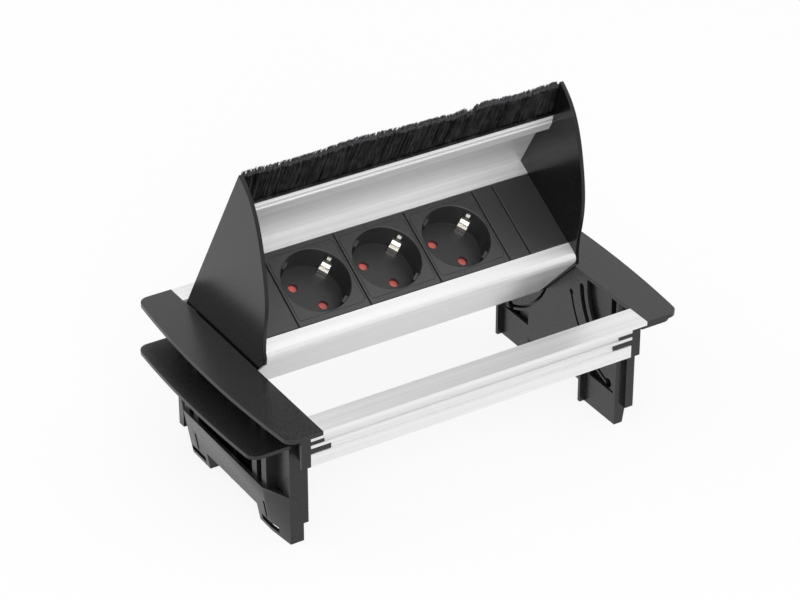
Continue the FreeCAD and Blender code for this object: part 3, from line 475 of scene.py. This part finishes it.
def material_for(slot_name):
    """The finish of one slot, made the first time it is asked for."""
    tones = bpy.context.scene.power_socket_finishes
    finishes = {
        # Coarse mould grain: the frame ends look matte and evenly lit.
        "bracket_black": (
            "spark_textured_abs_bracket",
            lambda name: spark_textured_plastic(
                name, tones.bracket, grain_mm=0.6, depth_mm=0.03, rough=0.3, ior=1.46
            ),
        ),
        # Fine shallow grain: the cheeks are the glossiest plastic and mirror the lid softly.
        "cover_black": (
            "fine_grained_abs_cover",
            lambda name: spark_textured_plastic(
                name, tones.cover, grain_mm=0.5, depth_mm=0.02, rough=0.22, ior=1.4
            ),
        ),
        # Satin faces: greyer than the frame, with a broad dull highlight.
        "socket_black": (
            "satin_polycarbonate_insert",
            lambda name: spark_textured_plastic(
                name, tones.insert, grain_mm=0.5, depth_mm=0.03, rough=0.4, ior=1.585
            ),
        ),
        # Soft rubber: a dull skin that hardly shines.
        "bushing_rubber": (
            "moulded_rubber",
            lambda name: spark_textured_plastic(
                name, tones.rubber, grain_mm=0.8, depth_mm=0.04, rough=0.7, ior=1.52
            ),
        ),
        "anodised": (
            "anodised_extruded_aluminium",
            lambda name: anodised_aluminium(name, tones.aluminium),
        ),
        "bristle": ("drawn_nylon_bristle", lambda name: nylon_bristle(name, tones.bristle)),
        # Clear signal red with a soft shine.
        "shutter_red": (
            "moulded_red_polycarbonate",
            lambda name: moulded_plastic(name, tones.shutter, rough=0.35, ripple_mm=4),
        ),
        # Ceramic filler: pale and nearly chalky.
        "insulator": (
            "ceramic_filled_polyamide",
            lambda name: moulded_plastic(name, tones.insulator, rough=0.55, ripple_mm=3),
        ),
        # Barrel-plated spring strip: the brightest metal, with sharp glints on its bends.
        "clip_nickel": (
            "nickel_plated_spring_strip",
            lambda name: plated_metal(name, tones.nickel, rough=0.24, grain_mm=0.8),
        ),
        # Turned brass: warm yellow with a tool-marked shine.
        "sleeve_brass": (
            "turned_brass",
            lambda name: plated_metal(name, tones.brass, rough=0.3, grain_mm=0.6),
        ),
        # Zinc plating: cool grey and a little cloudy.
        "screw_steel": (
            "zinc_plated_steel",
            lambda name: plated_metal(name, tones.steel, rough=0.34, grain_mm=0.7),
        ),
    }
    name, make = finishes[slot_name]
    return bpy.data.materials.get(name) or make(name)


def slot_of(node):
    """The record's material slot of a node."""
    return next(part["material_slot"] for part in frame["record"]["subparts"] if part["node"] == node)


def body_of(node):
    """The body that a node belongs to."""
    return next(name for name, nodes in frame["record"]["behaviour"]["bodies"].items() if node in nodes)


def link_piece(name, mesh, body, slot_name):
    """A new object with its finish that rides on a body."""
    piece = bpy.data.objects.new(name, mesh)
    bpy.context.scene.collection.objects.link(piece)
    mesh.materials.clear()
    mesh.materials.append(material_for(slot_name))
    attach(piece, body)
    return piece


def rounded_copy(node, rounding, suffix):
    """The node's own form with its sharp edges rounded, standing for the node."""
    mesh = frame["nodes"][node].data.copy()
    form = bmesh.new()
    form.from_mesh(mesh)
    bmesh.ops.remove_doubles(form, verts=form.verts, dist=WELD_DISTANCE)
    bmesh.ops.dissolve_limit(form, angle_limit=FLAT_ANGLE, verts=form.verts, edges=form.edges)
    form.to_mesh(mesh)
    form.free()
    if "custom_normal" in mesh.attributes:
        mesh.attributes.remove(mesh.attributes["custom_normal"])
    mesh.name = f"{node}_{suffix}"
    mesh.shade_smooth()
    mesh.set_sharp_from_angle(angle=SHARP_ANGLE)
    piece = link_piece(f"{node}_{suffix}", mesh, body_of(node), slot_of(node))
    round_off = piece.modifiers.new("rounded edges", "BEVEL")
    round_off.width = rounding
    round_off.segments = 2
    round_off.limit_method = "ANGLE"
    round_off.angle_limit = ROUNDED_ANGLE
    round_off.harden_normals = True
    round_off.use_clamp_overlap = True
    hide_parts(node)
    return piece


def dress(node):
    """Gives a node that keeps its own form the finish of its slot."""
    mesh = frame["nodes"][node].data
    mesh.materials.clear()
    mesh.materials.append(material_for(slot_of(node)))


def opened_mesh(name, corners, faces):
    """A mesh drawn with the unit closed, carried to the open unit."""
    mesh = bpy.data.meshes.new(name)
    mesh.from_pydata([OPENED @ corner for corner in corners], [], faces)
    mesh.update()
    return mesh


def turn_outward(mesh):
    """Makes the faces of a closed mesh look outward."""
    form = bmesh.new()
    form.from_mesh(mesh)
    bmesh.ops.recalc_face_normals(form, faces=form.faces)
    form.to_mesh(mesh)
    form.free()


def free_length(x, sizes):
    """Length of the brush past the lid at x, fuller in some places and worn short by cables in others."""
    change = sum(
        change * math.exp(-(((x / MM - centre) / width) ** 2)) for centre, width, change in WORN_PLACES
    )
    return sizes.bristle_reach + change * MM


def sideways(x, sizes):
    """Lean of a whole bristle at x, which the cheeks stop over the last 24 and 9 mm of the brush."""
    return (
        sizes.bristle_lean
        * min(1, (x + BRUSH_HALF) / (24 * MM))
        * min(1, (BRUSH_HALF - x) / (9 * MM))
    )


def bristle_line(chance, habits, sizes):
    """Root, bend and tip of one loose bristle, which shares the habits of its tuft."""
    tuft = chance.randrange(TUFTS)
    offset, own_lean, own_lift, own_reach = habits[tuft]
    across = -BRUSH_HALF + 2 * BRUSH_HALF * (tuft + 0.5) / TUFTS + offset
    across += chance.gauss(0, PLACE_SPREAD) * MM
    across = max(-BRUSH_HALF, min(BRUSH_HALF, across))
    # Half of the bristles lie by the brush's lower face, at 0, and a quarter by its upper face, at 1.
    depth = chance.choice(
        (chance.uniform(0, 0.14), chance.uniform(0, 0.14), chance.uniform(0.8, 1), chance.random())
    )
    reach = free_length(across, sizes) + own_reach
    reach += min(chance.gauss(0, REACH_SPREAD), MOST_EXTRA_REACH) * MM
    root = Vector((across, LIP_END + ROOT_INSIDE * MM, (LOWEST_ROOT + ROOT_BAND * depth) * MM))
    tip = Vector(
        (
            across + sideways(across, sizes) + own_lean + chance.gauss(0, LEAN_SPREAD) * MM,
            LIP_END - reach,
            # The brush closes up by 1.6 mm between its roots and its tips.
            root.z
            + sizes.bristle_lift
            + own_lift
            + (0.4 - 1.6 * depth + chance.gauss(0, LIFT_SPREAD)) * MM,
        )
    )
    bend = root.lerp(tip, BEND_SHARE)
    tip += Vector((chance.gauss(0, FRAY_SIDEWAYS), 0, chance.gauss(0, FRAY_UP))) * MM
    tip.x = max(-BRUSH_HALF, min(BRUSH_HALF, tip.x))
    bend.x = min(BRUSH_HALF, bend.x)
    tip.z = min(TIP_CEILING, tip.z)
    if tip.z < OVER_RAIL:
        tip.y = max(tip.y, RAIL_EDGE)
    return root, bend, tip


def add_bristle(corners, faces, line, radius, turn):
    """A three-sided thread along the line, which gets thinner and is closed at its tip."""
    first = len(corners)
    for centre, width in zip(line, BRISTLE_TAPER):
        for k in range(3):
            angle = turn + math.tau * k / 3
            corners.append(centre + Vector((math.cos(angle), 0, math.sin(angle))) * (radius * width))
    for ring in (first, first + 3):
        for k in range(3):
            following = (k + 1) % 3
            faces.append((ring + k, ring + following, ring + 3 + following, ring + 3 + k))
    faces.append((first + 6, first + 7, first + 8))


def loose_bristles(chance, sizes):
    """The single bristles of the brush, all tufts together, with frayed tips that carry a painted highlight."""
    habits = [tuple(chance.gauss(0, spread) * MM for spread in TUFT_SPREADS) for _ in range(TUFTS)]
    corners = []
    faces = []
    for _ in range(sizes.bristles):
        line = bristle_line(chance, habits, sizes)
        add_bristle(corners, faces, line, sizes.bristle_width / 2, chance.uniform(0, math.tau))
    mesh = opened_mesh("brush_tufts", corners, faces)
    piece = link_piece("brush_tufts", mesh, "flip_unit", "bristle")
    mesh.materials.append(frayed_and_highlit_nylon("frayed_and_highlit_nylon_tips", bpy.context.scene.power_socket_finishes.frayed_and_highlit))
    mesh.polygons.foreach_set("material_index", BRISTLE_FINISHES * sizes.bristles)
    return piece


def packed_bristles(chance, sizes):
    """The dense middle of the brush, in narrow columns that each end at their own length."""
    corners = []
    faces = []
    for k in range(PACKED_COLUMNS + 1):
        x = -BRUSH_HALF + 2 * BRUSH_HALF * k / PACKED_COLUMNS
        # The middle ends 1.6 mm inside the loose tips.
        reach = free_length(x, sizes) - 1.6 * MM + chance.gauss(0, 0.35) * MM
        sway = chance.gauss(0, 0.1) * MM
        for step in range(PACKED_ROWS + 1):
            share = step / PACKED_ROWS
            y = LIP_END + 0.4 * MM - reach * share
            wave = sway * share + chance.gauss(0, 0.06) * MM * share
            leaned = min(BRUSH_HALF, x + sideways(x, sizes) * 0.9 * share)
            rise = sizes.bristle_lift * 0.92 * share
            corners.append(Vector((leaned, y, 2.75 * MM + rise - 1.5 * MM * share + wave)))
            corners.append(Vector((leaned, y, -0.75 * MM + rise + 0.2 * MM * share + wave)))
    stride = 2 * (PACKED_ROWS + 1)
    tip = 2 * PACKED_ROWS
    for k in range(PACKED_COLUMNS):
        near = k * stride
        far = near + stride
        for step in range(PACKED_ROWS):
            a = 2 * step
            faces.append((near + a, near + a + 2, far + a + 2, far + a))
            faces.append((near + a + 1, far + a + 1, far + a + 3, near + a + 3))
        faces.append((near + tip, near + tip + 1, far + tip + 1, far + tip))
        faces.append((near + 1, near, far, far + 1))
    for end in (0, PACKED_COLUMNS * stride):
        for step in range(PACKED_ROWS):
            a = end + 2 * step
            faces.append((a, a + 1, a + 3, a + 2))
    mesh = opened_mesh("brush_middle", corners, faces)
    turn_outward(mesh)
    return link_piece("brush_middle", mesh, "flip_unit", "bristle")


def black_lip_strip():
    """A black strip over the end of the lid's lip, under the bristles' roots, which draws a dark line there."""
    corners = [
        Vector((side * BRUSH_HALF, LIP_END + y * MM, z * MM)) for side in (-1, 1) for y, z in BLACK_LIP_STRIP_SECTION
    ]
    count = len(BLACK_LIP_STRIP_SECTION)
    faces = [(k, (k + 1) % count, count + (k + 1) % count, count + k) for k in range(count)]
    faces += [tuple(range(count)), tuple(range(2 * count - 1, count - 1, -1))]
    mesh = opened_mesh("black_lip_strip", corners, faces)
    turn_outward(mesh)
    return link_piece("black_lip_strip", mesh, "flip_unit", slot_of("brush_holder"))


def place_camera(scene):
    """The camera at the photograph's angle."""
    sizes = scene.power_socket_sizes
    back = Vector(
        (
            math.sin(CAMERA_TURN) * math.cos(CAMERA_RISE),
            -math.cos(CAMERA_TURN) * math.cos(CAMERA_RISE),
            math.sin(CAMERA_RISE),
        )
    )
    camera = bpy.data.objects.new("camera", bpy.data.cameras.new("camera"))
    scene.collection.objects.link(camera)
    camera.data.lens = sizes.lens
    camera.data.clip_end = 20
    camera.location = CAMERA_AIM + back * sizes.camera_distance
    camera.rotation_euler = (-back).to_track_quat("-Z", "Y").to_euler()
    scene.camera = camera


def lay_floor(scene):
    """A plain pale floor that keeps the object's shadow."""
    mesh = bpy.data.meshes.new("floor")
    outline = [(-1, -1), (1, -1), (1, 1), (-1, 1)]
    mesh.from_pydata([(x * FLOOR_HALF, y * FLOOR_HALF, 0) for x, y in outline], [], [(0, 1, 2, 3)])
    floor = bpy.data.objects.new("floor", mesh)
    scene.collection.objects.link(floor)
    material, tree, _ = fresh_material("painted_studio_floor")
    paint = add_node(
        tree, "ShaderNodeBsdfDiffuse", {"Color": (*scene.power_socket_finishes.floor, 1), "Roughness": 0.5}
    )
    glow = add_node(tree, "ShaderNodeEmission", {"Color": (1, 1, 1, 1), "Strength": 1.0})
    share = add_node(tree, "ShaderNodeMath", {0: looked_at(tree), 1: FLOOR_GLOW}, operation="MULTIPLY")
    mixed = add_node(
        tree,
        "ShaderNodeMixShader",
        {0: share.outputs["Value"], 1: paint.outputs["BSDF"], 2: glow.outputs["Emission"]},
    )
    add_node(tree, "ShaderNodeOutputMaterial", {"Surface": mixed.outputs["Shader"]})
    mesh.materials.append(material)


def light_studio(scene):
    """A white studio all round, and three softboxes that look at the object."""
    world = bpy.data.worlds.new("studio")
    world.use_nodes = True
    tree = world.node_tree
    tree.nodes.clear()
    strength = add_node(
        tree, "ShaderNodeMapRange", {"Value": looked_at(tree), "To Min": SKY_LIGHT, "To Max": 1.0}
    )
    sky = add_node(
        tree, "ShaderNodeBackground", {"Color": (1, 1, 1, 1), "Strength": strength.outputs["Result"]}
    )
    add_node(tree, "ShaderNodeOutputWorld", {"Surface": sky.outputs["Background"]})
    scene.world = world
    for name, place, size, power in SOFTBOXES:
        lamp = bpy.data.lights.new(name, "AREA")
        lamp.shape = "SQUARE"
        lamp.size = size
        lamp.energy = power
        holder = bpy.data.objects.new(name, lamp)
        scene.collection.objects.link(holder)
        holder.location = place
        holder.rotation_euler = (LIT_CENTRE - Vector(place)).to_track_quat("-Z", "Y").to_euler()


class POWERSOCKET_OT_stage(bpy.types.Operator):
    """Pale floor, soft studio light and the camera"""

    bl_idname = "power_socket.stage"
    bl_label = "Stage"

    def execute(self, context):
        place_camera(context.scene)
        lay_floor(context.scene)
        light_studio(context.scene)
        context.scene.view_settings.view_transform = "Standard"
        return {"FINISHED"}


class POWERSOCKET_OT_brackets(bpy.types.Operator):
    """Moulded end brackets and clamp plates with rounded edges, and the clamp screws"""

    bl_idname = "power_socket.brackets"
    bl_label = "Brackets and clamps"

    def execute(self, context):
        sizes = context.scene.power_socket_sizes
        for side in ("right", "left"):
            rounded_copy(f"end_bracket_{side}", sizes.edge, "moulding")
            rounded_copy(f"clamp_plate_{side}", sizes.edge, "moulding")
            rounded_copy(f"clamp_screw_{side}", sizes.fine_edge, "turned")
        return {"FINISHED"}


class POWERSOCKET_OT_rails(bpy.types.Operator):
    """Aluminium rails and the plastic keys in their grooves"""

    bl_idname = "power_socket.rails"
    bl_label = "Rails"

    def execute(self, context):
        sizes = context.scene.power_socket_sizes
        for end in ("front", "rear"):
            rounded_copy(f"{end}_rail", sizes.fine_edge, "extrusion")
        rounded_copy("rail_keys", sizes.fine_edge, "moulding")
        return {"FINISHED"}


class POWERSOCKET_OT_cheeks(bpy.types.Operator):
    """Side cheeks with their guide pins"""

    bl_idname = "power_socket.cheeks"
    bl_label = "Cheeks"

    def execute(self, context):
        sizes = context.scene.power_socket_sizes
        for side in ("right", "left"):
            rounded_copy(f"cheek_{side}", sizes.edge, "moulding")
            dress(f"guide_pins_{side}")
        return {"FINISHED"}


class POWERSOCKET_OT_profiles(bpy.types.Operator):
    """Aluminium lid and apron"""

    bl_idname = "power_socket.profiles"
    bl_label = "Lid and apron"

    def execute(self, context):
        sizes = context.scene.power_socket_sizes
        for part in ("lid", "nose"):
            rounded_copy(f"{part}_profile", sizes.fine_edge, "extrusion")
        return {"FINISHED"}


class POWERSOCKET_OT_panel(bpy.types.Operator):
    """Carrier plate, plain covers, back cover and cable bushing"""

    bl_idname = "power_socket.panel"
    bl_label = "Panel"

    def execute(self, context):
        sizes = context.scene.power_socket_sizes
        for node in ("filler_left", "blank_strip", "filler_right", "back_cover"):
            rounded_copy(node, sizes.fine_edge, "moulding")
        for node in ("panel_frame", "cable_bushing"):
            dress(node)
        return {"FINISHED"}


class POWERSOCKET_OT_sockets(bpy.types.Operator):
    """Socket inserts with their shutters, clips and contacts"""

    bl_idname = "power_socket.sockets"
    bl_label = "Sockets"

    def execute(self, context):
        sizes = context.scene.power_socket_sizes
        for number in (1, 2, 3):
            rounded_copy(f"socket_module_{number}", sizes.fine_edge, "moulding")
            rounded_copy(f"earth_clips_{number}", sizes.strip_edge, "bent_strip")
            for part in ("shutter", "contact_carrier", "contact_sleeves"):
                dress(f"{part}_{number}")
        return {"FINISHED"}


class POWERSOCKET_OT_brush(bpy.types.Operator):
    """Brush of single bristles along the lid's front edge"""

    bl_idname = "power_socket.brush"
    bl_label = "Brush"

    def execute(self, context):
        sizes = context.scene.power_socket_sizes
        dress("brush_holder")
        chance = random.Random(7)
        for piece in (loose_bristles(chance, sizes), packed_bristles(chance, sizes)):
            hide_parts("brush_bristles")
        black_lip_strip()
        return {"FINISHED"}


OPERATORS = (
    POWERSOCKET_OT_stage,
    POWERSOCKET_OT_brackets,
    POWERSOCKET_OT_rails,
    POWERSOCKET_OT_cheeks,
    POWERSOCKET_OT_profiles,
    POWERSOCKET_OT_panel,
    POWERSOCKET_OT_sockets,
    POWERSOCKET_OT_brush,
)


class POWERSOCKET_PT_sidebar(bpy.types.Panel):
    """The socket's operators in their order, with its sizes and colours"""

    bl_idname = "POWERSOCKET_PT_sidebar"
    bl_label = "Power Socket"
    bl_space_type = "VIEW_3D"
    bl_region_type = "UI"
    bl_category = "Power Socket"

    def draw(self, context):
        for operator in OPERATORS:
            self.layout.operator(operator.bl_idname)
        for group in (context.scene.power_socket_sizes, context.scene.power_socket_finishes):
            for name in group.bl_rna.properties.keys():
                if name not in ("rna_type", "name"):
                    self.layout.prop(group, name)


CLASSES = (PowerSocketFinishes, PowerSocketSizes, *OPERATORS, POWERSOCKET_PT_sidebar)


def register():
    for item in CLASSES:
        bpy.utils.register_class(item)
    bpy.types.Scene.power_socket_finishes = bpy.props.PointerProperty(type=PowerSocketFinishes)
    bpy.types.Scene.power_socket_sizes = bpy.props.PointerProperty(type=PowerSocketSizes)


def unregister():
    del bpy.types.Scene.power_socket_sizes
    del bpy.types.Scene.power_socket_finishes
    for item in reversed(CLASSES):
        bpy.utils.unregister_class(item)


def main():
    """Registers the add-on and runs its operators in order."""
    register()
    for operator in OPERATORS:
        group, name = operator.bl_idname.split(".")
        getattr(getattr(bpy.ops, group), name)()


if __name__ == "__main__":
    main()
